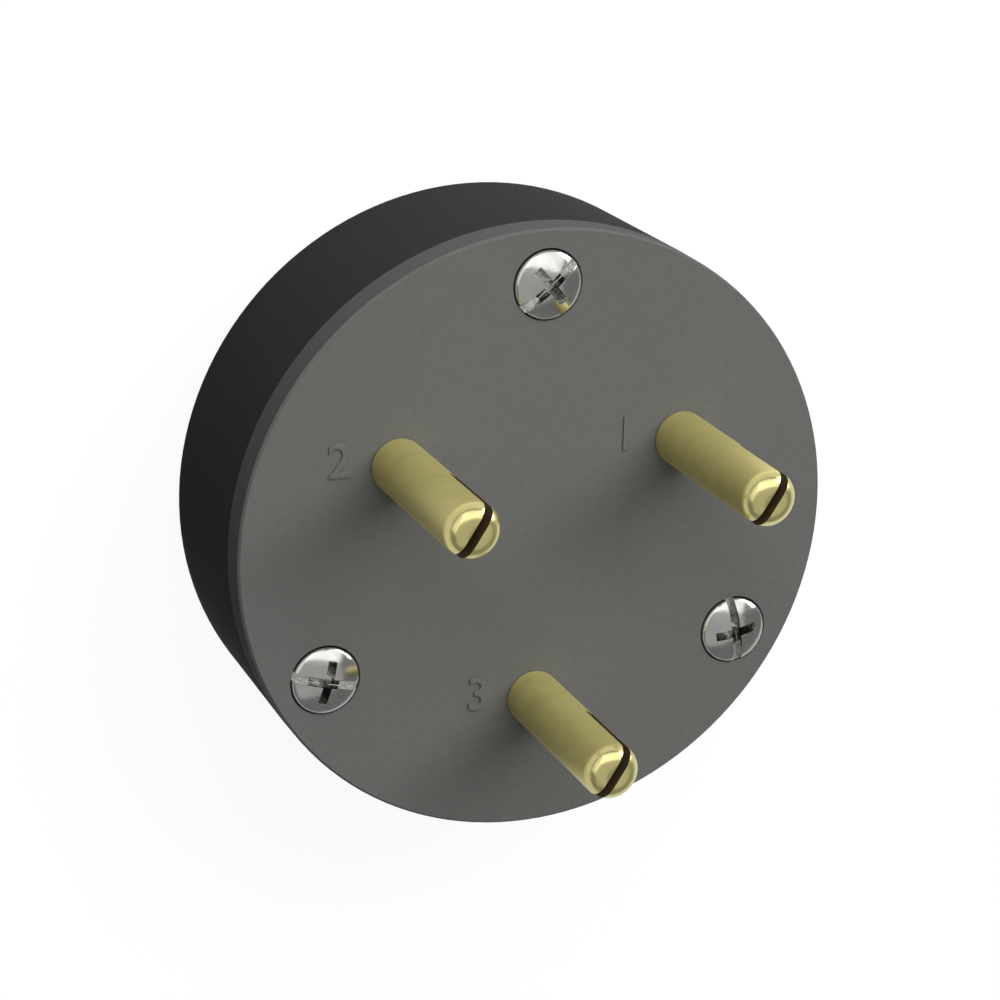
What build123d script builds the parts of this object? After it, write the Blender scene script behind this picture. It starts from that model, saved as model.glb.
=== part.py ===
"""Round three-pin industrial plug, lying on its flat back with the pins pointing up.

Sizes are in millimetres. The origin is the centre of the flat back, and +Z runs along the plug's axis
towards the pins. A grey front disc carries the pins, and a black cup behind it closes the wiring space.
"""
import math
import os

from build123d import *

os.makedirs("parts", exist_ok=True)

# Housing
face_radius = 28.0
disc_thickness = 3.0
cup_depth = 16.0
cup_draft = 1.0
cup_wall = 2.2
cup_floor = 2.5
back_edge_chamfer = 0.5
face_edge_chamfer = 0.2
seam_chamfer = 0.06
lip_height = 2.0
lip_thickness = 1.6
lip_clearance = 0.2

# Contact pins, split along the axis by one saw slot
pin_angles = (30, 150, 270)
pin_circle_radius = 15.6
pin_diameter = 5.0
pin_length = 18.5
pin_tip_round = 1.0
pin_slot_width = 0.85
pin_slot_depth = 9.0
pin_slot_turn = 58
pin_base_chamfer = 0.15
tail_diameter = 4.0
tail_projection = 0.7
tail_chamfer = 0.4
tail_hole_clearance = 0.1

# Bosses and pole barriers behind the disc
boss_diameter = 11.0
boss_height = 3.5
barrier_thickness = 1.2
barrier_height = 6.8
barrier_start = 7.0
barrier_column_gap = 0.5

# Washers and nuts on each pin's tail
seat_washer_diameter = 9.0
seat_washer_thickness = 0.6
nut_width = 7.0
nut_height = 3.2
thin_nut_height = 2.2
nut_corner_loss = 0.35
terminal_washer_depth = 8.0
terminal_washer_thickness = 0.8
terminal_ear_height = 1.2
terminal_ear_thickness = 0.7
terminal_ear_gap = 0.3
terminal_corner_round = 0.8

# Cover screws with a combined slot and cross recess
screw_angles = (90, 210, 330)
screw_slot_turns = (41, 166, 100)
screw_edge_distance = 5.0
screw_diameter = 3.5
screw_length = 12.0
screw_tip_taper = 0.4
screw_hole_clearance = 0.2
head_diameter = 6.3
head_side_height = 1.55
head_dome_height = 0.75
head_edge_chamfer = 0.25
head_seat_depth = 1.35
head_recess_clearance = 0.1
driver_slot_width = 0.8
driver_slot_depth = 1.15
cross_span = 4.3
cross_width = 0.85
cross_depth = 1.9
cross_floor_span = 2.0
cross_floor_width = 0.6

# Screw columns in the cup and the bushes moulded into them
column_diameter = 7.8
column_lip_gap = 0.4
insert_diameter = 5.2
insert_length = 8.0
insert_groove_depth = 0.3
insert_groove_width = 1.0
insert_recess = 0.1
insert_clearance = 0.05
insert_bore_clearance = 0.1
pilot_radius = 2.1
pilot_depth = 11.0

# Cord inlet in the back and the grip behind it
cord_diameter = 8.2
grommet_wall = 1.2
grommet_bore_clearance = 0.3
grommet_flange_radius = 6.9
grommet_flange_thickness = 0.9
grommet_inset = 0.1
grommet_clearance = 0.1
jaw_height = 5.0
jaw_floor_gap = 0.3
jaw_half_length = 10.4
jaw_depth = 6.0
jaw_gap = 1.2
clamp_ear_thickness = 2.4
clamp_wall = 1.6
clamp_screw_spacing = 15.2
clamp_screw_diameter = 2.9
clamp_screw_length = 7.0
clamp_head_diameter = 5.0
clamp_head_height = 1.7
clamp_head_chamfer = 0.5
clamp_slot_width = 0.8
clamp_slot_depth = 0.8
clamp_hole_clearance = 0.15
clamp_tip_room = 0.5

# Heights worked out from the driving sizes
face_z = cup_depth + disc_thickness
pin_tip_z = face_z + pin_length
boss_end_z = cup_depth - boss_height
seat_washer_z = boss_end_z - seat_washer_thickness
fixing_nut_z = seat_washer_z - thin_nut_height
terminal_washer_z = fixing_nut_z - terminal_washer_thickness
terminal_nut_z = terminal_washer_z - nut_height
tail_end_z = terminal_nut_z - tail_projection
head_seat_z = face_z - head_seat_depth
head_side_z = head_seat_z + head_side_height
head_top_z = head_side_z + head_dome_height
insert_top_z = cup_depth - insert_recess
insert_end_z = insert_top_z - insert_length
grommet_top_z = cup_floor + grommet_flange_thickness
jaw_z = grommet_top_z + jaw_floor_gap
jaw_top_z = jaw_z + jaw_height
clamp_axis_z = jaw_z + jaw_height / 2

# Radii worked out from the driving sizes
screw_circle_radius = face_radius - screw_edge_distance
draft_slope = math.tan(math.radians(cup_draft))
back_radius = face_radius - cup_depth * draft_slope
lip_radius = face_radius - lip_height * draft_slope - cup_wall - lip_clearance
pin_radius = pin_diameter / 2
tail_radius = tail_diameter / 2
tail_hole_radius = tail_radius + tail_hole_clearance
screw_radius = screw_diameter / 2
head_radius = head_diameter / 2
column_radius = column_diameter / 2
insert_radius = insert_diameter / 2
cord_radius = cord_diameter / 2
grommet_bore_radius = cord_radius + grommet_bore_clearance
grommet_neck_radius = grommet_bore_radius + grommet_wall
inlet_radius = grommet_neck_radius + grommet_clearance
grommet_seat_depth = grommet_inset + grommet_flange_thickness
clamp_screw_radius = clamp_screw_diameter / 2
clamp_ear_y = jaw_gap / 2 + clamp_ear_thickness
jaw_hole_depth = clamp_screw_length - clamp_ear_thickness - jaw_gap + clamp_tip_room
ear_centres = [(side * clamp_screw_spacing / 2, clamp_axis_z) for side in (-1, 1)]

# Two lengths nearer than this are taken as equal
match_tolerance = 0.01


def on_circle(radius, angle):
    """Return the X and Y of a point on a circle about the plug's axis."""
    turn = math.radians(angle)
    return radius * math.cos(turn), radius * math.sin(turn)


def upright_plane(centre):
    """Return the upright plane through a point, with X to the right and local Y along +Z."""
    return Plane(origin=(centre[0], centre[1], 0), x_dir=(1, 0, 0), z_dir=(0, -1, 0))


def vertical_axis(centre):
    """Return the axis parallel to Z through a point."""
    return Axis((centre[0], centre[1], 0), (0, 0, 1))


def turned_plane(centre, height, turn):
    """Return a level plane at a height, turned about its own centre."""
    x_dir = (*on_circle(1, turn), 0)
    return Plane(origin=(centre[0], centre[1], height), x_dir=x_dir, z_dir=(0, 0, 1))


def build_front_disc():
    """Grey moulding: disc, locating lip, pin bosses, pole barriers and all its holes."""
    pin_centres = [on_circle(pin_circle_radius, angle) for angle in pin_angles]
    screw_centres = [on_circle(screw_circle_radius, angle) for angle in screw_angles]
    barrier_end = screw_circle_radius - column_radius - barrier_column_gap
    barrier_length = barrier_end - barrier_start
    with BuildPart() as front_disc:
        with BuildSketch(Plane.XY.offset(cup_depth)):
            Circle(face_radius)
        extrude(amount=disc_thickness)
        chamfer(front_disc.edges().sort_by(Axis.Z)[-1], face_edge_chamfer)
        chamfer(front_disc.edges().sort_by(Axis.Z)[0], seam_chamfer)
        # Locating lip, broken where the cup's screw columns pass it
        with BuildSketch(Plane.XY.offset(cup_depth)):
            Circle(lip_radius)
            Circle(lip_radius - lip_thickness, mode=Mode.SUBTRACT)
            with Locations(*screw_centres):
                Circle(column_radius + column_lip_gap, mode=Mode.SUBTRACT)
        extrude(amount=-lip_height)
        # Bosses that carry the pins, and barriers between the poles
        with BuildSketch(Plane.XY.offset(cup_depth)):
            with Locations(*pin_centres):
                Circle(boss_diameter / 2)
        extrude(amount=-boss_height)
        for angle in screw_angles:
            middle = on_circle(barrier_start + barrier_length / 2, angle)
            with BuildSketch(turned_plane(middle, cup_depth, angle)):
                Rectangle(barrier_length, barrier_thickness)
            extrude(amount=-barrier_height)
        # Holes for the pins' tails
        with BuildSketch(Plane.XY.offset(face_z)):
            with Locations(*pin_centres):
                Circle(tail_hole_radius)
        extrude(amount=-(disc_thickness + boss_height), mode=Mode.SUBTRACT)
        # Sunk seats and holes for the cover screws
        with BuildSketch(Plane.XY.offset(face_z)):
            with Locations(*screw_centres):
                Circle(head_radius + head_recess_clearance)
        extrude(amount=-head_seat_depth, mode=Mode.SUBTRACT)
        with BuildSketch(Plane.XY.offset(face_z)):
            with Locations(*screw_centres):
                Circle(screw_radius + screw_hole_clearance)
        extrude(amount=-disc_thickness, mode=Mode.SUBTRACT)
    front_disc.part.label = "front_disc"
    export_step(front_disc.part, "parts/front_disc.step")


def build_rear_cover():
    """Black moulding: drafted cup, screw columns, fixed cord jaw and the cord hole."""
    screw_centres = [on_circle(screw_circle_radius, angle) for angle in screw_angles]
    leg_span = 2 * (grommet_flange_radius + jaw_floor_gap)
    inner_floor_radius = back_radius + cup_floor * draft_slope - cup_wall
    with BuildPart() as rear_cover:
        with BuildSketch(Plane.XZ):
            with BuildLine():
                Polyline(
                    (0, 0),
                    (back_radius, 0),
                    (face_radius, cup_depth),
                    (face_radius - cup_wall, cup_depth),
                    (inner_floor_radius, cup_floor),
                    (0, cup_floor),
                    close=True,
                )
            make_face()
        revolve(axis=Axis.Z)
        rims = rear_cover.edges().filter_by(GeomType.CIRCLE).sort_by(Axis.Z)
        chamfer(rims[0], back_edge_chamfer)
        front_edges = rear_cover.edges().filter_by(GeomType.CIRCLE).group_by(Axis.Z)[-1]
        chamfer(front_edges.sort_by(SortBy.RADIUS)[-1], seam_chamfer)
        # Columns for the cover screws, level with the rim
        with BuildSketch(Plane.XY.offset(cup_floor)):
            with Locations(*screw_centres):
                Circle(column_radius)
        extrude(amount=cup_depth - cup_floor)
        # Fixed jaw of the cord grip, bridging the grommet on two legs
        with BuildSketch(Plane.XY.offset(cup_floor)):
            with Locations((0, -jaw_gap / 2)):
                Rectangle(2 * jaw_half_length, jaw_depth - jaw_gap / 2, align=(Align.CENTER, Align.MAX))
        extrude(amount=jaw_top_z - cup_floor)
        with BuildSketch(Plane.XY.offset(cup_floor)):
            Rectangle(leg_span, leg_span)
        extrude(amount=jaw_z - cup_floor, mode=Mode.SUBTRACT)
        with BuildSketch(Plane.XY.offset(jaw_z)):
            Circle(cord_radius)
        extrude(amount=jaw_height, mode=Mode.SUBTRACT)
        # Screw holes of the fixed jaw
        with BuildSketch(Plane.XZ.offset(jaw_gap / 2)):
            with Locations(*ear_centres):
                Circle(clamp_screw_radius + insert_clearance)
        extrude(amount=jaw_hole_depth, mode=Mode.SUBTRACT)
        # Seats of the bushes and room for the screw tips
        with BuildSketch(Plane.XY.offset(cup_depth)):
            with Locations(*screw_centres):
                Circle(insert_radius + insert_clearance)
        extrude(amount=-(insert_recess + insert_length), mode=Mode.SUBTRACT)
        with BuildSketch(Plane.XY.offset(cup_depth)):
            with Locations(*screw_centres):
                Circle(pilot_radius)
        extrude(amount=-pilot_depth, mode=Mode.SUBTRACT)
        # Cord hole with a sunk seat for the grommet's outer flange
        with BuildSketch():
            Circle(inlet_radius)
        extrude(amount=cup_floor, mode=Mode.SUBTRACT)
        with BuildSketch():
            Circle(grommet_flange_radius + grommet_clearance)
        extrude(amount=grommet_seat_depth, mode=Mode.SUBTRACT)
    rear_cover.part.label = "rear_cover"
    export_step(rear_cover.part, "parts/rear_cover.step")


def build_pin(number, angle):
    """Turned brass pin: rounded and split tip, shoulder on the disc's face and a stud tail."""
    centre = on_circle(pin_circle_radius, angle)
    with BuildPart() as pin:
        with BuildSketch(Plane.XY.offset(face_z)):
            with Locations(centre):
                Circle(pin_radius)
        extrude(amount=pin_length)
        rims = pin.edges().filter_by(GeomType.CIRCLE).sort_by(Axis.Z)
        fillet(rims[-1], pin_tip_round)
        chamfer(rims[0], pin_base_chamfer)
        with BuildSketch(Plane.XY.offset(face_z)):
            with Locations(centre):
                Circle(tail_radius)
        extrude(amount=tail_end_z - face_z)
        chamfer(pin.edges().filter_by(GeomType.CIRCLE).sort_by(Axis.Z)[0], tail_chamfer)
        with BuildSketch(turned_plane(centre, pin_tip_z, pin_slot_turn)):
            Rectangle(2 * pin_diameter, pin_slot_width)
        extrude(amount=-pin_slot_depth, mode=Mode.SUBTRACT)
    pin.part.label = f"pin_{number}"
    export_step(pin.part, f"parts/pin_{number}.step")


def build_seat_washer(number, angle):
    """Plain washer between the disc's boss and the thin nut."""
    centre = on_circle(pin_circle_radius, angle)
    with BuildPart() as seat_washer:
        with BuildSketch(Plane.XY.offset(seat_washer_z)):
            with Locations(centre):
                Circle(seat_washer_diameter / 2)
                Circle(tail_hole_radius, mode=Mode.SUBTRACT)
        extrude(amount=seat_washer_thickness)
    seat_washer.part.label = f"seat_washer_{number}"
    export_step(seat_washer.part, f"parts/seat_washer_{number}.step")


def build_nut(name, centre, base_z, height):
    """Hexagon nut with its corners turned off at both faces."""
    corner_radius = nut_width / math.sqrt(3)
    flat_edge = corner_radius - nut_corner_loss
    corner_drop = nut_corner_loss * math.tan(math.radians(30))
    with BuildPart() as nut:
        with BuildSketch(Plane.XY.offset(base_z)):
            with Locations(centre):
                RegularPolygon(corner_radius, 6, rotation=30)
        extrude(amount=height)
        with BuildSketch(upright_plane(centre)):
            with BuildLine():
                Polyline(
                    (tail_hole_radius, base_z),
                    (flat_edge, base_z),
                    (corner_radius, base_z + corner_drop),
                    (corner_radius, base_z + height - corner_drop),
                    (flat_edge, base_z + height),
                    (tail_hole_radius, base_z + height),
                    close=True,
                )
            make_face()
        revolve(axis=vertical_axis(centre), mode=Mode.INTERSECT)
    nut.part.label = name
    export_step(nut.part, f"parts/{name}.step")


def build_terminal_washer(number, angle):
    """Clamp washer with two ears that stand up beside the thin nut and keep the strands in."""
    centre = on_circle(pin_circle_radius, angle)
    ear_inside = nut_width / 2 + terminal_ear_gap
    half_width = ear_inside + terminal_ear_thickness
    with BuildPart() as terminal_washer:
        with BuildSketch(Plane.XY.offset(terminal_washer_z)):
            with Locations(centre):
                RectangleRounded(2 * half_width, terminal_washer_depth, terminal_corner_round)
                Circle(tail_hole_radius, mode=Mode.SUBTRACT)
        extrude(amount=terminal_washer_thickness)
        with BuildSketch(Plane.XY.offset(fixing_nut_z)):
            with Locations(centre):
                RectangleRounded(2 * half_width, terminal_washer_depth, terminal_corner_round)
                Rectangle(2 * ear_inside, terminal_washer_depth, mode=Mode.SUBTRACT)
        extrude(amount=terminal_ear_height)
    terminal_washer.part.label = f"terminal_washer_{number}"
    export_step(terminal_washer.part, f"parts/terminal_washer_{number}.step")


def build_cover_screw(number, angle, slot_turn):
    """Pan head screw whose domed head has a full slot and a tapered cross."""
    centre = on_circle(screw_circle_radius, angle)
    top_plane = turned_plane(centre, head_top_z, slot_turn)
    rim_length = math.tau * head_radius
    with BuildPart() as cover_screw:
        with BuildSketch(upright_plane(centre)):
            with BuildLine():
                TangentArc((0, head_top_z), (head_radius, head_side_z), tangent=(1, 0))
                Line((head_radius, head_side_z), (head_radius, head_seat_z))
                Line((head_radius, head_seat_z), (0, head_seat_z))
                Line((0, head_seat_z), (0, head_top_z))
            make_face()
        revolve(axis=vertical_axis(centre))
        rims = cover_screw.edges().filter_by(lambda edge: abs(edge.length - rim_length) < match_tolerance)
        chamfer(rims.sort_by(Axis.Z)[-1], head_edge_chamfer)
        with BuildSketch(Plane.XY.offset(head_seat_z)):
            with Locations(centre):
                Circle(screw_radius)
        extrude(amount=-screw_length)
        chamfer(cover_screw.edges().filter_by(GeomType.CIRCLE).sort_by(Axis.Z)[0], screw_tip_taper)
        with BuildSketch(top_plane):
            Rectangle(2 * head_diameter, driver_slot_width)
        extrude(amount=-driver_slot_depth, mode=Mode.SUBTRACT)
        with BuildSketch(top_plane):
            Rectangle(cross_span, cross_width)
            Rectangle(cross_width, cross_span)
        with BuildSketch(top_plane.offset(-cross_depth)):
            Rectangle(cross_floor_span, cross_floor_width)
            Rectangle(cross_floor_width, cross_floor_span)
        loft(ruled=True, mode=Mode.SUBTRACT)
    cover_screw.part.label = f"cover_screw_{number}"
    export_step(cover_screw.part, f"parts/cover_screw_{number}.step")


def build_screw_insert(number, angle):
    """Brass bush moulded into a screw column, with a groove that the plastic grips."""
    centre = on_circle(screw_circle_radius, angle)
    bore_radius = screw_radius + insert_bore_clearance
    waist_radius = insert_radius - insert_groove_depth
    groove_z = insert_end_z + (insert_length - insert_groove_width) / 2
    with BuildPart() as screw_insert:
        with BuildSketch(upright_plane(centre)):
            with BuildLine():
                Polyline(
                    (bore_radius, insert_end_z),
                    (insert_radius, insert_end_z),
                    (insert_radius, groove_z),
                    (waist_radius, groove_z),
                    (waist_radius, groove_z + insert_groove_width),
                    (insert_radius, groove_z + insert_groove_width),
                    (insert_radius, insert_top_z),
                    (bore_radius, insert_top_z),
                    close=True,
                )
            make_face()
        revolve(axis=vertical_axis(centre))
    screw_insert.part.label = f"screw_insert_{number}"
    export_step(screw_insert.part, f"parts/screw_insert_{number}.step")


def build_inlet_grommet():
    """Rubber grommet that grips the edge of the cord hole between its two flanges."""
    with BuildPart() as inlet_grommet:
        with BuildSketch(Plane.XZ):
            with BuildLine():
                Polyline(
                    (grommet_bore_radius, grommet_inset),
                    (grommet_flange_radius, grommet_inset),
                    (grommet_flange_radius, grommet_seat_depth),
                    (grommet_neck_radius, grommet_seat_depth),
                    (grommet_neck_radius, cup_floor),
                    (grommet_flange_radius, cup_floor),
                    (grommet_flange_radius, grommet_top_z),
                    (grommet_bore_radius, grommet_top_z),
                    close=True,
                )
            make_face()
        revolve(axis=Axis.Z)
    inlet_grommet.part.label = "inlet_grommet"
    export_step(inlet_grommet.part, "parts/inlet_grommet.step")


def build_cord_clamp():
    """Loose half of the cord grip: an arched saddle with a screw ear at each end."""
    jaw_trim = 4 * cord_diameter
    with BuildPart() as cord_clamp:
        with BuildSketch(Plane.XY.offset(jaw_z)):
            Circle(cord_radius + clamp_wall)
            with Locations((0, jaw_gap / 2)):
                Rectangle(2 * jaw_half_length, clamp_ear_thickness, align=(Align.CENTER, Align.MIN))
                Rectangle(jaw_trim, jaw_trim, align=(Align.CENTER, Align.MAX), mode=Mode.SUBTRACT)
            Circle(cord_radius, mode=Mode.SUBTRACT)
        extrude(amount=jaw_height)
        with BuildSketch(Plane.XZ.offset(-jaw_gap / 2)):
            with Locations(*ear_centres):
                Circle(clamp_screw_radius + clamp_hole_clearance)
        extrude(amount=-clamp_ear_thickness, mode=Mode.SUBTRACT)
    cord_clamp.part.label = "cord_clamp"
    export_step(cord_clamp.part, "parts/cord_clamp.step")


def build_clamp_screw(number, side):
    """Slotted screw that pulls the loose half of the cord grip towards the fixed jaw."""
    centre = (side * clamp_screw_spacing / 2, clamp_axis_z)
    with BuildPart() as clamp_screw:
        with BuildSketch(Plane.XZ.offset(-clamp_ear_y)):
            with Locations(centre):
                Circle(clamp_head_diameter / 2)
        extrude(amount=-clamp_head_height)
        chamfer(clamp_screw.edges().filter_by(GeomType.CIRCLE).sort_by(Axis.Y)[-1], clamp_head_chamfer)
        with BuildSketch(Plane.XZ.offset(-clamp_ear_y)):
            with Locations(centre):
                Circle(clamp_screw_radius)
        extrude(amount=clamp_screw_length)
        with BuildSketch(Plane.XZ.offset(-(clamp_ear_y + clamp_head_height))):
            with Locations(centre):
                Rectangle(clamp_slot_width, 2 * clamp_head_diameter)
        extrude(amount=clamp_slot_depth, mode=Mode.SUBTRACT)
    clamp_screw.part.label = f"clamp_screw_{number}"
    export_step(clamp_screw.part, f"parts/clamp_screw_{number}.step")


build_front_disc()
build_rear_cover()
build_inlet_grommet()
build_cord_clamp()
for number, side in enumerate((-1, 1), start=1):
    build_clamp_screw(number, side)
for number, angle in enumerate(pin_angles, start=1):
    build_pin(number, angle)
    build_seat_washer(number, angle)
    build_nut(f"fixing_nut_{number}", on_circle(pin_circle_radius, angle), fixing_nut_z, thin_nut_height)
    build_terminal_washer(number, angle)
    build_nut(f"terminal_nut_{number}", on_circle(pin_circle_radius, angle), terminal_nut_z, nut_height)
for number, angle in enumerate(screw_angles, start=1):
    build_cover_screw(number, angle, screw_slot_turns[number - 1])
    build_screw_insert(number, angle)
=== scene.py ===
"""Finishes, fine shapes, studio and camera for a round three-pin industrial plug.

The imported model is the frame. The plug lies on its flat back at z = 0 with its pins pointing up.
Sizes are in metres and angles in radians, except for the pitches of the finishes' patterns, which
are in millimetres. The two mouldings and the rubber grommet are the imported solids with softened
edges. The pins and the cover screws are turned, cut and rounded here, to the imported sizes. Small
raised pole numbers are added to the face.
"""
import logging
import math
from collections.abc import Iterable
from dataclasses import dataclass, field
from enum import Enum

import bmesh
import bpy
from mathutils import Matrix, Quaternion, Vector


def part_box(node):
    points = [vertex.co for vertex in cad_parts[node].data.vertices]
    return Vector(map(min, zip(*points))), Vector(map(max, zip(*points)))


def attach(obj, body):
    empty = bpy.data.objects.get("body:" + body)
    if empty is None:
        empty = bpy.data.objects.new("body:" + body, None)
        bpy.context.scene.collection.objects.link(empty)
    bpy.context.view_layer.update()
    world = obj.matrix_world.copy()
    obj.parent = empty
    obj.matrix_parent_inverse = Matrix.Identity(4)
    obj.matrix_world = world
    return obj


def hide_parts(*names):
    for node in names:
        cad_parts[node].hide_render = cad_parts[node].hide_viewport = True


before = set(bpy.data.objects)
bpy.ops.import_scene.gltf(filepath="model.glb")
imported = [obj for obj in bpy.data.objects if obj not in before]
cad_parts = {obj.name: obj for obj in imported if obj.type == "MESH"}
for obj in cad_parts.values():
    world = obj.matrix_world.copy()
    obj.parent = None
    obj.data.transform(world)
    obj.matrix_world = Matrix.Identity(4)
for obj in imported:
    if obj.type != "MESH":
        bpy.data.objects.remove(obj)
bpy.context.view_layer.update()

MM = 0.001
BODY = "root"
MERGE_DISTANCE = 1e-7
ON_CIRCLE_WITHIN = 1e-6
SHARP_FROM = math.radians(38)
QUARTER_TURN = 0.25

log = logging.getLogger("plug_scene")


class EdgeSoftness(Enum):
    """Radius of the small rounding along a piece's sharp edges, in metres."""

    MOULDED = 0.06 * MM
    SAWN = 0.05 * MM
    PRESSED = 0.07 * MM
    RUBBER = 0.25 * MM


def linear_colour(code: str) -> tuple[float, float, float, float]:
    """Turn a hexadecimal screen colour into the linear colour that a socket takes.

    Args:
        code: Six hexadecimal digits, two each for red, green and blue.

    Returns:
        Linear red, green and blue, and a full alpha.
    """
    shares = [int(code[place:place + 2], 16) / 255 for place in (0, 2, 4)]
    linear = [share / 12.92 if share <= 0.04045 else ((share + 0.055) / 1.055) ** 2.4 for share in shares]
    return (*linear, 1.0)


class FinishSheet:
    """One material's node tree, with short calls for the nodes that the finishes share."""

    def __init__(self, name: str, scale: tuple[float, float, float] = (1.0, 1.0, 1.0)) -> None:
        """Start a material whose patterns are counted in millimetres on the object.

        Args:
            name: Name of the material.
            scale: How many pattern units one millimetre has along X, Y and Z.
        """
        self.material = bpy.data.materials.new(name)
        self.material.use_nodes = True
        self.tree = self.material.node_tree
        self.shader = self.tree.nodes["Principled BSDF"]
        self.place = self.mapping(scale)

    def link(self, source: bpy.types.NodeSocket, target: bpy.types.NodeSocket) -> None:
        """Join an output to an input."""
        self.tree.links.new(source, target)

    def mapping(self, scale: tuple[float, float, float]) -> bpy.types.NodeSocket:
        """Return Object coordinates in millimetres, stretched by a scale for each axis."""
        coordinates = self.tree.nodes.new("ShaderNodeTexCoord")
        mapping = self.tree.nodes.new("ShaderNodeMapping")
        mapping.inputs["Scale"].default_value = [share / MM for share in scale]
        self.link(coordinates.outputs["Object"], mapping.inputs["Vector"])
        return mapping.outputs["Vector"]

    def noise(self, pitch: float, detail: float = 2.0,
              place: bpy.types.NodeSocket | None = None) -> bpy.types.NodeSocket:
        """Return a noise pattern from 0 to 1.

        Args:
            pitch: Size of one cell in pattern units.
            detail: Octaves of finer noise on top.
            place: Coordinates to read, or None for the material's own.

        Returns:
            The noise's value output.
        """
        noise = self.tree.nodes.new("ShaderNodeTexNoise")
        noise.inputs["Scale"].default_value = 1 / pitch
        noise.inputs["Detail"].default_value = detail
        self.link(place or self.place, noise.inputs["Vector"])
        return noise.outputs["Fac"]

    def spread(self, value: bpy.types.NodeSocket, low: float, high: float,
               contrast: float = 0.5) -> bpy.types.NodeSocket:
        """Map the middle of a pattern onto a range of values.

        Args:
            value: The pattern, from 0 to 1.
            low: Result at the pattern's low end.
            high: Result at the pattern's high end.
            contrast: Share of the pattern's range that the result spans.

        Returns:
            The mapped value.
        """
        spread = self.tree.nodes.new("ShaderNodeMapRange")
        spread.inputs["From Min"].default_value = 0.5 - contrast / 2
        spread.inputs["From Max"].default_value = 0.5 + contrast / 2
        spread.inputs["To Min"].default_value = low
        spread.inputs["To Max"].default_value = high
        self.link(value, spread.inputs["Value"])
        return spread.outputs["Result"]

    def round_the_axis(self) -> bpy.types.NodeSocket:
        """Return the direction along tool rings that run round an upright axis."""
        surface = self.tree.nodes.new("ShaderNodeNewGeometry")
        cross = self.tree.nodes.new("ShaderNodeVectorMath")
        cross.operation = "CROSS_PRODUCT"
        barely_leaning = (0.001, 0.0, 1.0)  # upright would give no direction on the flat ends
        cross.inputs[0].default_value = barely_leaning
        self.link(surface.outputs["Normal"], cross.inputs[1])
        return cross.outputs["Vector"]

    def mix(self, share: bpy.types.NodeSocket, first: str, second: str) -> bpy.types.NodeSocket:
        """Blend two colours by a share that changes over the surface.

        Args:
            share: How much of the second colour shows, from 0 to 1.
            first: Hexadecimal code of the first colour.
            second: Hexadecimal code of the second colour.

        Returns:
            The blended colour.
        """
        mix = self.tree.nodes.new("ShaderNodeMix")
        mix.data_type = "RGBA"
        mix.inputs[6].default_value = linear_colour(first)
        mix.inputs[7].default_value = linear_colour(second)
        self.link(share, mix.inputs[0])
        return mix.outputs[2]

    def relief(self, heights: Iterable[tuple[bpy.types.NodeSocket, float]]) -> None:
        """Chain bumps into the shader's normal.

        Args:
            heights: Patterns with the depth of each in metres.
        """
        normal = None
        for height, depth in heights:
            bump = self.tree.nodes.new("ShaderNodeBump")
            bump.inputs["Strength"].default_value = 1.0
            bump.inputs["Distance"].default_value = depth
            self.link(height, bump.inputs["Height"])
            if normal:
                self.link(normal, bump.inputs["Normal"])
            normal = bump.outputs["Normal"]
        self.link(normal, self.shader.inputs["Normal"])


@dataclass(frozen=True)
class MouldedPlastic:
    """Filled thermoset moulding: nearly even colour, spark-eroded grain and slow changes of gloss."""

    name: str
    colour: str
    paler_colour: str
    roughness: float = 0.7
    gloss_change: float = 0.03
    specular: float = 0.005
    grain_pitch: float = 0.16
    grain_depth: float = 0.006 * MM
    speck_pitch: float = 0.48
    flow_pitch: float = 9.0

    def make(self) -> bpy.types.Material:
        """Build the material."""
        sheet = FinishSheet(self.name)
        flow = sheet.noise(self.flow_pitch, 3.0)
        grain = sheet.noise(self.grain_pitch, 1.5)
        speck = sheet.noise(self.speck_pitch, 4.0)
        sheet.link(sheet.mix(sheet.spread(speck, 0.0, 1.0), self.colour, self.paler_colour),
                   sheet.shader.inputs["Base Color"])
        glossiest = self.roughness - self.gloss_change
        dullest = self.roughness + self.gloss_change
        sheet.link(sheet.spread(flow, glossiest, dullest), sheet.shader.inputs["Roughness"])
        sheet.shader.inputs["Specular IOR Level"].default_value = self.specular
        sheet.relief([(grain, self.grain_depth)])
        return sheet.material


@dataclass(frozen=True)
class TurnedMetal:
    """Turned metal: fine tool rings round the axis, uneven tarnish and a varying polish."""

    name: str
    colour: str
    tarnish: str
    roughness: float = 0.34
    roughness_change: float = 0.04
    metallic: float = 0.52
    brushing: float = 0.4
    ring_pitch: float = 0.5
    ring_depth: float = 0.004 * MM
    change_round_ring: float = 0.03
    tarnish_pitch: float = 2.5

    def make(self) -> bpy.types.Material:
        """Build the material."""
        sheet = FinishSheet(self.name)
        stretch = (self.change_round_ring, self.change_round_ring, 1.0)
        rings = sheet.noise(self.ring_pitch, 1.0, sheet.mapping(stretch))
        cloud = sheet.noise(self.tarnish_pitch, 4.0)
        sheet.link(sheet.mix(sheet.spread(cloud, 0.0, 1.0), self.colour, self.tarnish),
                   sheet.shader.inputs["Base Color"])
        smoothest = self.roughness - self.roughness_change
        roughest = self.roughness + self.roughness_change
        sheet.link(sheet.spread(cloud, smoothest, roughest), sheet.shader.inputs["Roughness"])
        sheet.shader.inputs["Metallic"].default_value = self.metallic
        sheet.shader.inputs["Anisotropic"].default_value = self.brushing
        sheet.shader.inputs["Anisotropic Rotation"].default_value = QUARTER_TURN
        sheet.link(sheet.round_the_axis(), sheet.shader.inputs["Tangent"])
        sheet.relief([(rings, self.ring_depth)])
        return sheet.material


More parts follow.
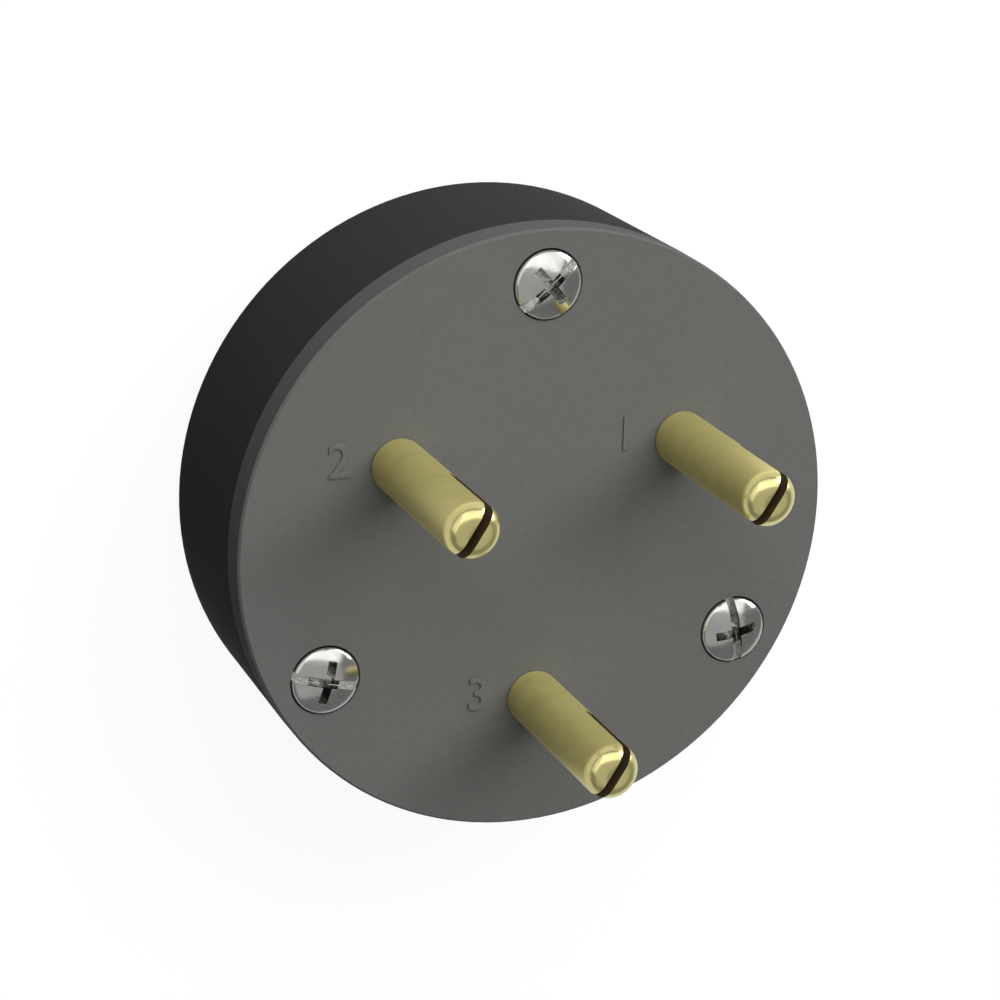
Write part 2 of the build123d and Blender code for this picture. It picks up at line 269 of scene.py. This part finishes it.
@dataclass(frozen=True)
class PlatedSteel:
    """Bright plating over formed steel: near-white metal with hairline scuffs and a soft ripple."""

    name: str
    colour: str
    dull_colour: str
    roughness: float = 0.16
    polish: float = 0.05
    wear: float = 0.07
    scuff_pitch: float = 0.25
    scuff_depth: float = 0.0008 * MM
    scuff_stretch: tuple[float, float, float] = (0.15, 1.6, 1.0)
    ripple_pitch: float = 1.6
    ripple_depth: float = 0.004 * MM

    def make(self) -> bpy.types.Material:
        """Build the material."""
        sheet = FinishSheet(self.name)
        scuffs = sheet.noise(self.scuff_pitch, 3.0, sheet.mapping(self.scuff_stretch))
        ripple = sheet.noise(self.ripple_pitch, 1.0)
        sheet.link(sheet.mix(sheet.spread(ripple, 0.0, 1.0), self.colour, self.dull_colour),
                   sheet.shader.inputs["Base Color"])
        brightest = self.roughness - self.polish
        dullest = self.roughness + self.wear
        sheet.link(sheet.spread(scuffs, brightest, dullest), sheet.shader.inputs["Roughness"])
        sheet.shader.inputs["Metallic"].default_value = 1.0
        sheet.relief([(ripple, self.ripple_depth), (scuffs, self.scuff_depth)])
        return sheet.material


@dataclass(frozen=True)
class SoftRubber:
    """Dull black rubber with a dusty bloom."""

    name: str
    colour: str
    bloom_colour: str
    roughness: float = 0.75
    bloom_dulling: float = 0.15
    specular: float = 0.25
    bloom_pitch: float = 3.0
    grain_pitch: float = 0.3
    grain_depth: float = 0.01 * MM

    def make(self) -> bpy.types.Material:
        """Build the material."""
        sheet = FinishSheet(self.name)
        bloom = sheet.noise(self.bloom_pitch, 5.0)
        sheet.link(sheet.mix(sheet.spread(bloom, 0.0, 1.0), self.colour, self.bloom_colour),
                   sheet.shader.inputs["Base Color"])
        dullest = self.roughness + self.bloom_dulling
        sheet.link(sheet.spread(bloom, self.roughness, dullest), sheet.shader.inputs["Roughness"])
        sheet.shader.inputs["Specular IOR Level"].default_value = self.specular
        sheet.relief([(sheet.noise(self.grain_pitch, 2.0), self.grain_depth)])
        return sheet.material


@dataclass
class FinishRack:
    """All finishes of the plug, each made once."""

    disc: bpy.types.Material = field(init=False)
    cup: bpy.types.Material = field(init=False)
    pin: bpy.types.Material = field(init=False)
    pin_tip: bpy.types.Material = field(init=False)
    # Painted shade: the saw slot's walls and floor are given a dark brown far below the pin's brass.
    saw_cut: bpy.types.Material = field(init=False)
    plating: bpy.types.Material = field(init=False)
    drive_pit: bpy.types.Material = field(init=False)
    washer: bpy.types.Material = field(init=False)
    nut: bpy.types.Material = field(init=False)
    clamp: bpy.types.Material = field(init=False)
    clamp_screw: bpy.types.Material = field(init=False)
    rubber: bpy.types.Material = field(init=False)

    def __post_init__(self) -> None:
        """Make every material."""
        self.disc = MouldedPlastic("grey_moulding", "666664", "6b6b69").make()
        self.cup = MouldedPlastic("black_moulding", "3d3d3d", "414140").make()
        self.clamp = MouldedPlastic("clamp_moulding", "2c2c2e", "313133").make()
        self.pin = TurnedMetal("pin_brass", "e0d68c", "cfc47a").make()
        self.pin_tip = TurnedMetal("pin_tip_brass", "cfc78a", "c0b77a", roughness=0.22, metallic=0.8,
                                   brushing=0.0, ring_depth=0.001 * MM).make()
        # Painted shade of the narrow saw slot, whose walls mirror each other: its walls and floor get a dark
        # brown well below the pin's brass.
        self.saw_cut = TurnedMetal("sawn_brass_painted_shade", "645238", "51422b", roughness=0.6, metallic=0.5,
                                   brushing=0.0, ring_pitch=0.3, ring_depth=0.006 * MM).make()
        self.washer = TurnedMetal("washer_brass", "cdbb78", "b9a563").make()
        self.nut = TurnedMetal("nut_brass", "c9b06a", "a98f52", roughness=0.28, ring_pitch=0.4).make()
        self.plating = PlatedSteel("bright_plating", "b9b9b6", "adadaa").make()
        self.drive_pit = PlatedSteel("pressed_pit", "bcbcb8", "9c9c99", ripple_pitch=0.32,
                                     ripple_depth=0.035 * MM).make()
        self.clamp_screw = PlatedSteel("zinc_plating", "b9bdc2", "a6abb3", roughness=0.3).make()
        self.rubber = SoftRubber("grommet_rubber", "1c1c1d", "262627").make()


def faces_out(shape: bmesh.types.BMesh) -> None:
    """Merge doubled vertices and turn every face outwards."""
    bmesh.ops.remove_doubles(shape, verts=shape.verts, dist=MERGE_DISTANCE)
    bmesh.ops.recalc_face_normals(shape, faces=shape.faces)


def turned_shape(outline: list[tuple[float, float]], segments: int) -> bmesh.types.BMesh:
    """Turn an outline about Z, as on a lathe.

    Args:
        outline: Radius and height of each point, from one end of the axis to the other.
        segments: Number of facets round the axis.

    Returns:
        A closed shape centred on the Z axis.
    """
    shape = bmesh.new()
    corners = [shape.verts.new((radius, 0.0, height)) for radius, height in outline]
    edges = [shape.edges.new(pair) for pair in zip(corners, corners[1:])]
    bmesh.ops.spin(shape, geom=[*corners, *edges], cent=(0, 0, 0), axis=(0, 0, 1), dvec=(0, 0, 0),
                   angle=math.tau, steps=segments, use_merge=True, use_duplicate=False)
    faces_out(shape)
    return shape


def round_edges(shape: bmesh.types.BMesh, edges: list[bmesh.types.BMEdge], radius: float,
                segments: int) -> None:
    """Round edges to a radius.

    Args:
        shape: The shape to change.
        edges: Edges that get the rounding.
        radius: How far the rounding reaches from each edge.
        segments: Facets across the rounding.
    """
    bmesh.ops.bevel(shape, geom=edges, offset=radius, offset_type="OFFSET", affect="EDGES",
                    segments=segments, profile=0.5, material=-1, clamp_overlap=True)


def ring_at(shape: bmesh.types.BMesh, radius: float, height: float) -> list[bmesh.types.BMEdge]:
    """Return the edges of the circle at a radius and height."""
    def on_ring(corner: bmesh.types.BMVert) -> bool:
        """Tell whether a vertex lies on the circle."""
        off_height = abs(corner.co.z - height)
        off_radius = abs(corner.co.xy.length - radius)
        return off_height < ON_CIRCLE_WITHIN and off_radius < ON_CIRCLE_WITHIN
    return [edge for edge in shape.edges if all(on_ring(corner) for corner in edge.verts)]


def sharp_edges(shape: bmesh.types.BMesh, angle: float) -> list[bmesh.types.BMEdge]:
    """Return the edges that turn by more than an angle."""
    return [edge for edge in shape.edges if edge.is_manifold and edge.calc_face_angle() > angle]


def finished_piece(shape: bmesh.types.BMesh, name: str, materials: list[bpy.types.Material],
                   stands_for: str | None = None) -> bpy.types.Object:
    """Make a shape an object of the plug, smooth but for its sharp edges.

    Args:
        shape: The shape in its place; it is freed.
        name: Name of the piece.
        materials: Finishes in the order of the faces' material numbers.
        stands_for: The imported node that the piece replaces, if any.

    Returns:
        The new object.
    """
    mesh = bpy.data.meshes.new(name)
    shape.to_mesh(mesh)
    shape.free()
    mesh.shade_smooth()
    mesh.set_sharp_from_angle(angle=SHARP_FROM)
    for material in materials:
        mesh.materials.append(material)
    piece = bpy.data.objects.new(name, mesh)
    bpy.context.scene.collection.objects.link(piece)
    weighting = piece.modifiers.new("even_normals", "WEIGHTED_NORMAL")
    weighting.keep_sharp = True
    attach(piece, BODY)
    if stands_for:
        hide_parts(stands_for)
    return piece


def cut_with(shape: bmesh.types.BMesh, cutter: bmesh.types.BMesh) -> bmesh.types.BMesh:
    """Cut one closed shape out of another, at a thousand times its size so that small faces stay exact.

    Args:
        shape: The shape that is cut; it is freed.
        cutter: The shape of the hole, whose faces keep material number 1; it is freed.

    Returns:
        The cut shape.
    """
    for face in cutter.faces:
        face.material_index = 1
    objects = []
    for name, source in (("blank", shape), ("cutter", cutter)):
        bmesh.ops.scale(source, vec=(1 / MM, 1 / MM, 1 / MM), verts=source.verts)
        mesh = bpy.data.meshes.new(name)
        source.to_mesh(mesh)
        source.free()
        mesh.materials.append(None)
        mesh.materials.append(None)
        piece = bpy.data.objects.new(name, mesh)
        bpy.context.scene.collection.objects.link(piece)
        objects.append(piece)
    blank, hole = objects
    cut = blank.modifiers.new("cut", "BOOLEAN")
    cut.operation = "DIFFERENCE"
    cut.solver = "EXACT"
    cut.material_mode = "INDEX"
    cut.object = hole
    result = bmesh.new()
    result.from_object(blank, bpy.context.evaluated_depsgraph_get())
    bmesh.ops.scale(result, vec=(MM, MM, MM), verts=result.verts)
    for piece in objects:
        mesh = piece.data
        bpy.data.objects.remove(piece)
        bpy.data.meshes.remove(mesh)
    return result


@dataclass
class Moulding:
    """A packed moulding with its sharp edges softened."""

    node: str
    slot: str
    material: bpy.types.Material
    softness: EdgeSoftness = EdgeSoftness.MOULDED
    rounding_segments: int = 3
    flat_angle: float = math.radians(0.5)
    corner_angle: float = math.radians(50)

    def build(self) -> bpy.types.Object:
        """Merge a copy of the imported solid, round its edges and stand it in the solid's place.

        Returns:
            The softened piece.
        """
        shape = bmesh.new()
        shape.from_mesh(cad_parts[self.node].data)
        bmesh.ops.remove_doubles(shape, verts=shape.verts, dist=MERGE_DISTANCE)
        bmesh.ops.dissolve_limit(shape, angle_limit=self.flat_angle, verts=shape.verts, edges=shape.edges)
        corners = sharp_edges(shape, self.corner_angle)
        round_edges(shape, corners, self.softness.value, self.rounding_segments)
        return finished_piece(shape, f"{self.node}_softened", [self.material], self.node)


@dataclass
class ContactPin:
    """Turned brass pin, split along its axis by one saw cut and polished at its tip."""

    number: int
    finishes: FinishRack
    tail_radius: float = 2.0 * MM
    tail_chamfer: float = 0.4 * MM
    base_chamfer: float = 0.15 * MM
    tip_round: float = 1.4 * MM
    slot_width: float = 0.85 * MM
    slot_depth: float = 9.0 * MM
    slot_turn: float = math.radians(58)
    polish_depth: float = 1.0 * MM
    segments: int = 96
    tip_segments: int = 14
    saw_edge_segments: int = 2

    def __post_init__(self) -> None:
        """Read the pin's place and size from the frame."""
        self.node = f"pin_{self.number}"
        low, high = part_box(self.node)
        self.centre = (low + high) / 2
        self.radius = (high.x - low.x) / 2
        self.tip_z = high.z
        self.tail_z = low.z
        self.shoulder_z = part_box("front_disc")[1].z
        self.slot_floor_z = self.tip_z - self.slot_depth

    def blank(self) -> bmesh.types.BMesh:
        """Turn the pin, round its tip and mark the polished end.

        Returns:
            The pin before it is split, standing on the Z axis.
        """
        outline = [
            (0.0, self.tail_z),
            (self.tail_radius - self.tail_chamfer, self.tail_z),
            (self.tail_radius, self.tail_z + self.tail_chamfer),
            (self.tail_radius, self.shoulder_z),
            (self.radius - self.base_chamfer, self.shoulder_z),
            (self.radius, self.shoulder_z + self.base_chamfer),
            (self.radius, self.tip_z),
            (0.0, self.tip_z),
        ]
        pin = turned_shape(outline, self.segments)
        round_edges(pin, ring_at(pin, self.radius, self.tip_z), self.tip_round, self.tip_segments)
        for face in pin.faces:
            if face.calc_center_median().z > self.tip_z - self.polish_depth:
                face.material_index = 2
        return pin

    def split(self, pin: bmesh.types.BMesh) -> None:
        """Saw the slot: cut the skin along its outline, take out what lies between and wall it up.

        Args:
            pin: The unsplit pin, which is changed.
        """
        half = self.slot_width / 2
        floor = self.slot_floor_z
        bmesh.ops.bisect_plane(pin, geom=[*pin.verts, *pin.edges, *pin.faces], plane_co=(0, 0, floor),
                               plane_no=(0, 0, 1))
        for side in (half, -half):
            above = [face for face in pin.faces if face.calc_center_median().z > floor]
            geometry = {part for face in above for part in (face, *face.edges, *face.verts)}
            bmesh.ops.bisect_plane(pin, geom=list(geometry), plane_co=(0, side, 0), plane_no=(0, 1, 0))
        between = [face for face in pin.faces
                   if abs(face.calc_center_median().y) < half and face.calc_center_median().z > floor]
        bmesh.ops.delete(pin, geom=between, context="FACES")
        rim = [edge for edge in pin.edges if edge.is_boundary]
        mouth = []
        for side in (half, -half):
            wall_rim = [edge for edge in rim
                        if all(abs(corner.co.y - side) < MERGE_DISTANCE for corner in edge.verts)]
            ends = {corner for edge in wall_rim for corner in edge.verts
                    if abs(corner.co.z - floor) < MERGE_DISTANCE}
            across = sorted(ends, key=lambda corner: corner.co.x)
            foot = bmesh.ops.contextual_create(pin, geom=across)["edges"]
            wall = bmesh.ops.contextual_create(pin, geom=[*wall_rim, *foot])["faces"]
            mouth += wall_rim
            # The slot's walls and floor take material 1, which carries the slot's painted shade.
            for face in wall:
                face.material_index = 1
        bottom = [edge for edge in pin.edges if edge.is_boundary]
        for face in bmesh.ops.contextual_create(pin, geom=bottom)["faces"]:
            face.material_index = 1
        bmesh.ops.recalc_face_normals(pin, faces=pin.faces)
        round_edges(pin, mouth, EdgeSoftness.SAWN.value, self.saw_edge_segments)

    def build(self) -> bpy.types.Object:
        """Make the pin and set it in its place.

        Returns:
            The finished pin.
        """
        pin = self.blank()
        self.split(pin)
        turn = Matrix.Rotation(self.slot_turn, 4, "Z")
        place = Matrix.Translation((self.centre.x, self.centre.y, 0))
        bmesh.ops.transform(pin, matrix=place @ turn, verts=pin.verts)
        # Material 1, the saw slot's walls and floor, carries the slot's painted shade in a dark brown.
        materials = [self.finishes.pin, self.finishes.saw_cut, self.finishes.pin_tip]
        return finished_piece(pin, f"split_pin_{self.number}", materials, self.node)


@dataclass
class CoverScrew:
    """Plated pan head screw with a through slot and a tapered cross in its domed head."""

    number: int
    slot_turn: float
    finishes: FinishRack
    shank_radius: float = 1.75 * MM
    tip_taper: float = 0.4 * MM
    length: float = 12.0 * MM
    side_height: float = 1.55 * MM
    dome_height: float = 0.75 * MM
    edge_round: float = 0.25 * MM
    slot_width: float = 0.8 * MM
    slot_depth: float = 1.15 * MM
    cross_span: float = 4.3 * MM
    cross_width: float = 0.85 * MM
    cross_depth: float = 1.9 * MM
    cross_floor_span: float = 2.0 * MM
    cross_floor_width: float = 0.6 * MM
    cut_sliver: float = 0.004 * MM
    mouth_angle: float = math.radians(30)
    segments: int = 128
    dome_rings: int = 18
    edge_segments: int = 4
    mouth_segments: int = 2

    def __post_init__(self) -> None:
        """Read the screw's place and size from the frame."""
        self.node = f"cover_screw_{self.number}"
        low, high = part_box(self.node)
        self.centre = (low + high) / 2
        self.head_radius = (high.x - low.x) / 2
        self.end_z = low.z
        self.seat_z = low.z + self.length
        self.side_z = self.seat_z + self.side_height
        self.top_z = self.side_z + self.dome_height

    def blank(self) -> bmesh.types.BMesh:
        """Turn the screw's head and plain shank, with the head's edge rounded.

        Returns:
            The screw before its recess is pressed, standing on the Z axis.
        """
        dome_radius = (self.head_radius ** 2 + self.dome_height ** 2) / (2 * self.dome_height)
        last_ring = math.asin((self.head_radius - 2 * self.edge_round) / dome_radius)
        arc = [last_ring * step / self.dome_rings for step in range(self.dome_rings + 1)]
        dome = [(dome_radius * math.sin(angle), self.top_z - dome_radius * (1 - math.cos(angle)))
                for angle in arc]
        outline = [
            *dome,
            (self.head_radius, self.side_z),
            (self.head_radius, self.seat_z),
            (self.shank_radius, self.seat_z),
            (self.shank_radius, self.end_z + self.tip_taper),
            (self.shank_radius - self.tip_taper, self.end_z),
            (0.0, self.end_z),
        ]
        screw = turned_shape(outline, self.segments)
        round_edges(screw, ring_at(screw, self.head_radius, self.side_z), self.edge_round,
                    self.edge_segments)
        return screw

    def slot_cutter(self) -> bmesh.types.BMesh:
        """Return the bar that cuts the through slot."""
        cutter = bmesh.new()
        bmesh.ops.create_cube(cutter, size=1.0)
        size = (4 * self.head_radius, self.slot_width, 2 * self.slot_depth)
        bmesh.ops.scale(cutter, vec=size, verts=cutter.verts)
        bmesh.ops.translate(cutter, vec=(0, 0, self.top_z), verts=cutter.verts)
        return cutter

    def wing_cutter(self, turn: float) -> bmesh.types.BMesh:
        """Return one tapered bar of the cross.

        Args:
            turn: Angle of the bar about the axis.

        Returns:
            A closed bar that narrows downwards.
        """
        cutter = bmesh.new()
        bmesh.ops.create_cube(cutter, size=1.0)
        bmesh.ops.translate(cutter, vec=(0, 0, -0.5), verts=cutter.verts)
        lower = [corner for corner in cutter.verts if corner.co.z < -0.5]
        span_share = self.cross_floor_span / self.cross_span
        width_share = self.cross_floor_width / self.cross_width
        bmesh.ops.scale(cutter, vec=(span_share, width_share, 1.0), verts=lower)
        size = (self.cross_span, self.cross_width, self.cross_depth)
        bmesh.ops.scale(cutter, vec=size, verts=cutter.verts)
        bmesh.ops.rotate(cutter, cent=(0, 0, 0), matrix=Matrix.Rotation(turn, 3, "Z"), verts=cutter.verts)
        bmesh.ops.translate(cutter, vec=(0, 0, self.top_z), verts=cutter.verts)
        return cutter

    def build(self) -> bpy.types.Object:
        """Make the screw and set it in its place.

        Returns:
            The finished screw.
        """
        screw = self.blank()
        for cutter in (self.slot_cutter(), self.wing_cutter(0.0), self.wing_cutter(math.pi / 2)):
            screw = cut_with(screw, cutter)
        bmesh.ops.remove_doubles(screw, verts=screw.verts, dist=self.cut_sliver)
        bmesh.ops.recalc_face_normals(screw, faces=screw.faces)
        mouth = [edge for edge in sharp_edges(screw, self.mouth_angle)
                 if {face.material_index for face in edge.link_faces} == {0, 1}]
        round_edges(screw, mouth, EdgeSoftness.PRESSED.value, self.mouth_segments)
        turn = Matrix.Rotation(self.slot_turn, 4, "Z")
        place = Matrix.Translation((self.centre.x, self.centre.y, 0))
        bmesh.ops.transform(screw, matrix=place @ turn, verts=screw.verts)
        materials = [self.finishes.plating, self.finishes.drive_pit]
        return finished_piece(screw, f"pan_screw_{self.number}", materials, self.node)


@dataclass
class PoleNumbers:
    """Plain raised numbers on the face, one to the left of each pin."""

    finishes: FinishRack
    height: float = 3.2 * MM
    relief: float = 0.15 * MM
    type_size: float = 1.4
    pin_gap: float = 3.0 * MM
    side: float = math.radians(172)
    edge_bevel: float = 0.04 * MM
    edge_segments: int = 1
    curve_segments: int = 8

    def build(self) -> list[bpy.types.Object]:
        """Raise each number beside its pin.

        Returns:
            The three numbers.
        """
        return [self.raise_number(number) for number in (1, 2, 3)]

    def raise_number(self, number: int) -> bpy.types.Object:
        """Make one number as a mesh and set it on the face.

        Args:
            number: The pole's number.

        Returns:
            The finished number.
        """
        low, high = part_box(f"pin_{number}")
        pin = (low + high) / 2
        aside = Vector((math.cos(self.side), math.sin(self.side), 0))
        reach = (high.x - low.x) / 2 + self.pin_gap
        place = Vector((pin.x, pin.y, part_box("front_disc")[1].z)) + aside * reach
        text = bpy.data.curves.new(f"number_{number}", "FONT")
        text.body = str(number)
        text.align_x = "CENTER"
        text.align_y = "CENTER"
        text.size = self.height * self.type_size
        text.extrude = self.relief - self.edge_bevel
        text.bevel_depth = self.edge_bevel
        text.bevel_resolution = self.edge_segments
        text.resolution_u = self.curve_segments
        carrier = bpy.data.objects.new(f"number_{number}", text)
        bpy.context.scene.collection.objects.link(carrier)
        shape = bmesh.new()
        shape.from_mesh(carrier.to_mesh())
        bpy.data.objects.remove(carrier)
        bmesh.ops.translate(shape, vec=place, verts=shape.verts)
        faces_out(shape)
        return finished_piece(shape, f"pole_number_{number}", [self.finishes.disc])


@dataclass
class WiringGear:
    """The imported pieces, of which those inside the housing keep their shape and get their finish here."""

    finishes: FinishRack

    def dress(self) -> list[str]:
        """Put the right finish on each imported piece.

        Returns:
            Names of the dressed nodes.
        """
        dressed = {
            "seat_washer": self.finishes.washer,
            "terminal_washer": self.finishes.washer,
            "fixing_nut": self.finishes.nut,
            "terminal_nut": self.finishes.nut,
            "screw_insert": self.finishes.nut,
            "clamp_screw": self.finishes.clamp_screw,
            "cord_clamp": self.finishes.clamp,
            "front_disc": self.finishes.disc,
            "rear_cover": self.finishes.cup,
            "inlet_grommet": self.finishes.rubber,
            "pin": self.finishes.pin,
            "cover_screw": self.finishes.plating,
        }
        names = []
        for name, node in sorted(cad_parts.items()):
            kind = name.rstrip("0123456789").rstrip("_")
            for holder in node.material_slots:
                holder.material = dressed[kind]
            names.append(name)
        return names


@dataclass(frozen=True)
class SoftLamp:
    """A rectangular soft lamp or bright card that points at the plug from a bearing and a height.

    A lamp that isn't mirrored lights the plug and is left out of its reflections. A card that doesn't
    light is seen in the reflections only.
    """

    name: str
    azimuth: float
    elevation: float
    distance: float
    width: float
    height: float
    power: float
    mirrored: bool = True
    lights: bool = True

    def hang(self) -> bpy.types.Object:
        """Hang the lamp.

        Returns:
            The lamp's object.
        """
        light = bpy.data.lights.new(self.name, "AREA")
        light.shape = "RECTANGLE"
        light.size = self.width
        light.size_y = self.height
        light.energy = self.power
        level = math.cos(self.elevation)
        towards = Vector((level * math.cos(self.azimuth), level * math.sin(self.azimuth),
                          math.sin(self.elevation)))
        holder = bpy.data.objects.new(self.name, light)
        holder.location = towards * self.distance
        holder.rotation_mode = "QUATERNION"
        holder.rotation_quaternion = (-towards).to_track_quat("-Z", "Y")
        holder.visible_glossy = self.mirrored
        holder.visible_diffuse = self.lights
        bpy.context.scene.collection.objects.link(holder)
        return holder


@dataclass
class Studio:
    """Pale floor, dim grey surroundings, soft lamps and cards for the metal's reflections."""

    floor_radius: float = 3.0
    sweep_radius: float = 0.6
    sweep_steps: int = 9
    floor_segments: int = 96
    floor_shade: float = 0.1
    floor_glow: float = 0.92
    room_light: float = 0.04
    room_seen: float = 0.26
    lamps: tuple[SoftLamp, ...] = (
        SoftLamp("wall", azimuth=math.radians(96), elevation=math.radians(35), distance=0.8, width=0.7,
                 height=0.7, power=4.5, mirrored=False),
        SoftLamp("key", azimuth=math.radians(48), elevation=math.radians(44), distance=0.8, width=0.4,
                 height=0.4, power=3.6, mirrored=False),
        SoftLamp("fill", azimuth=math.radians(285), elevation=math.radians(12), distance=0.8, width=0.9,
                 height=0.3, power=2.4, mirrored=False),
        SoftLamp("top", azimuth=math.radians(200), elevation=math.radians(85), distance=1.0, width=1.6,
                 height=1.6, power=2.9),
        SoftLamp("right_card", azimuth=math.radians(75), elevation=math.radians(52), distance=0.9,
                 width=1.25, height=0.8, power=4.7, lights=False),
        SoftLamp("left_card", azimuth=math.radians(145), elevation=math.radians(42), distance=0.9, width=1.2,
                 height=0.6, power=2.3, lights=False),
        SoftLamp("low_card", azimuth=math.radians(28), elevation=math.radians(22), distance=0.8, width=0.5,
                 height=0.4, power=4.4, lights=False),
    )

    def build(self) -> None:
        """Lay the floor, hang the lamps and paint the surroundings."""
        self.lay_floor()
        for lamp in self.lamps:
            lamp.hang()
        self.paint_surroundings()
        bpy.context.scene.view_settings.view_transform = "Standard"

    def lay_floor(self) -> None:
        """Lay a round floor that sweeps up at its rim, shows white and still takes the plug's shadow."""
        flat_radius = self.floor_radius - self.sweep_radius
        turns = [math.pi / 2 * step / self.sweep_steps for step in range(self.sweep_steps + 1)]
        sweep = [(flat_radius + self.sweep_radius * math.sin(turn), self.sweep_radius * (1 - math.cos(turn)))
                 for turn in turns]
        shape = turned_shape([(0.0, 0.0), *sweep], self.floor_segments)
        mesh = bpy.data.meshes.new("floor")
        shape.to_mesh(mesh)
        shape.free()
        floor = bpy.data.objects.new("floor", mesh)
        bpy.context.scene.collection.objects.link(floor)
        material = bpy.data.materials.new("pale_floor")
        material.use_nodes = True
        tree = material.node_tree
        tree.nodes.clear()
        output = tree.nodes.new("ShaderNodeOutputMaterial")
        matt = tree.nodes.new("ShaderNodeBsdfDiffuse")
        matt.inputs["Color"].default_value = (self.floor_shade, self.floor_shade, self.floor_shade, 1)
        glow = tree.nodes.new("ShaderNodeEmission")
        both = tree.nodes.new("ShaderNodeAddShader")
        level = tree.nodes.new("ShaderNodeMath")
        level.operation = "MULTIPLY"
        level.inputs[1].default_value = self.floor_glow
        tree.links.new(self.seen_directly(tree), level.inputs[0])
        tree.links.new(level.outputs["Value"], glow.inputs["Strength"])
        tree.links.new(matt.outputs["BSDF"], both.inputs[0])
        tree.links.new(glow.outputs["Emission"], both.inputs[1])
        tree.links.new(both.outputs["Shader"], output.inputs["Surface"])
        mesh.materials.append(material)
        mesh.shade_smooth()

    def seen_directly(self, tree: bpy.types.NodeTree) -> bpy.types.NodeSocket:
        """Return 1 for camera, glossy and transmission rays and 0 for the light that falls on things."""
        rays = tree.nodes.new("ShaderNodeLightPath")
        largest = rays.outputs["Is Camera Ray"]
        for name in ("Is Glossy Ray", "Is Transmission Ray"):
            pick = tree.nodes.new("ShaderNodeMath")
            pick.operation = "MAXIMUM"
            tree.links.new(largest, pick.inputs[0])
            tree.links.new(rays.outputs[name], pick.inputs[1])
            largest = pick.outputs["Value"]
        return largest

    def paint_surroundings(self) -> None:
        """Make the surroundings grey wherever they are seen, and a dim soft light on everything else."""
        world = bpy.data.worlds.new("surroundings")
        bpy.context.scene.world = world
        world.use_nodes = True
        tree = world.node_tree
        background = tree.nodes["Background"]
        background.inputs["Color"].default_value = (1, 1, 1, 1)
        level = tree.nodes.new("ShaderNodeMapRange")
        level.inputs["To Min"].default_value = self.room_light
        level.inputs["To Max"].default_value = self.room_seen
        tree.links.new(self.seen_directly(tree), level.inputs["Value"])
        tree.links.new(level.outputs["Result"], background.inputs["Strength"])


@dataclass
class ViewCamera:
    """Camera at the photograph's viewing angle."""

    azimuth: float = math.radians(-132.050)
    elevation: float = math.radians(60.476)
    roll: float = math.radians(130.023)
    aim: tuple[float, float, float] = (-3.848 * MM, 3.636 * MM, 19.0 * MM)
    distance: float = 273.13 * MM
    lens_mm: float = 111.517
    sensor_mm: float = 36.0
    nearest: float = 0.01
    farthest: float = 20.0

    def build(self) -> None:
        """Place the camera and make it the scene's own."""
        level = math.cos(self.elevation)
        back = Vector((math.sin(self.azimuth) * level, -math.cos(self.azimuth) * level,
                       math.sin(self.elevation)))
        data = bpy.data.cameras.new("view")
        data.lens = self.lens_mm
        data.sensor_width = self.sensor_mm
        data.clip_start = self.nearest
        data.clip_end = self.farthest
        camera = bpy.data.objects.new("view", data)
        camera.location = Vector(self.aim) + back * self.distance
        camera.rotation_mode = "QUATERNION"
        upright = (-back).to_track_quat("-Z", "Y")
        camera.rotation_quaternion = upright @ Quaternion((0, 0, 1), self.roll)
        bpy.context.scene.collection.objects.link(camera)
        bpy.context.scene.camera = camera
        rotation = camera.rotation_quaternion.to_matrix()
        log.info("camera right %s up %s", tuple(rotation.col[0]), tuple(rotation.col[1]))


def main() -> None:
    """Build the scene, piece by piece."""
    logging.basicConfig(level=logging.INFO, format="%(message)s")
    ViewCamera().build()
    Studio().build()
    finishes = FinishRack()
    log.info("dressed %s", ", ".join(WiringGear(finishes).dress()))
    pieces = [
        Moulding("front_disc", "front_disc", finishes.disc).build(),
        Moulding("rear_cover", "rear_cover", finishes.cup).build(),
        Moulding("inlet_grommet", "inlet_grommet", finishes.rubber, EdgeSoftness.RUBBER).build(),
    ]
    screw_slot_turns = (math.radians(41), math.radians(166), math.radians(100))
    for number, turn in enumerate(screw_slot_turns, start=1):
        pieces.append(ContactPin(number, finishes).build())
        pieces.append(CoverScrew(number, turn, finishes).build())
    pieces += PoleNumbers(finishes).build()
    for piece in pieces:
        log.info("%s: %d faces", piece.name, len(piece.data.polygons))


if __name__ == "__main__":
    main()
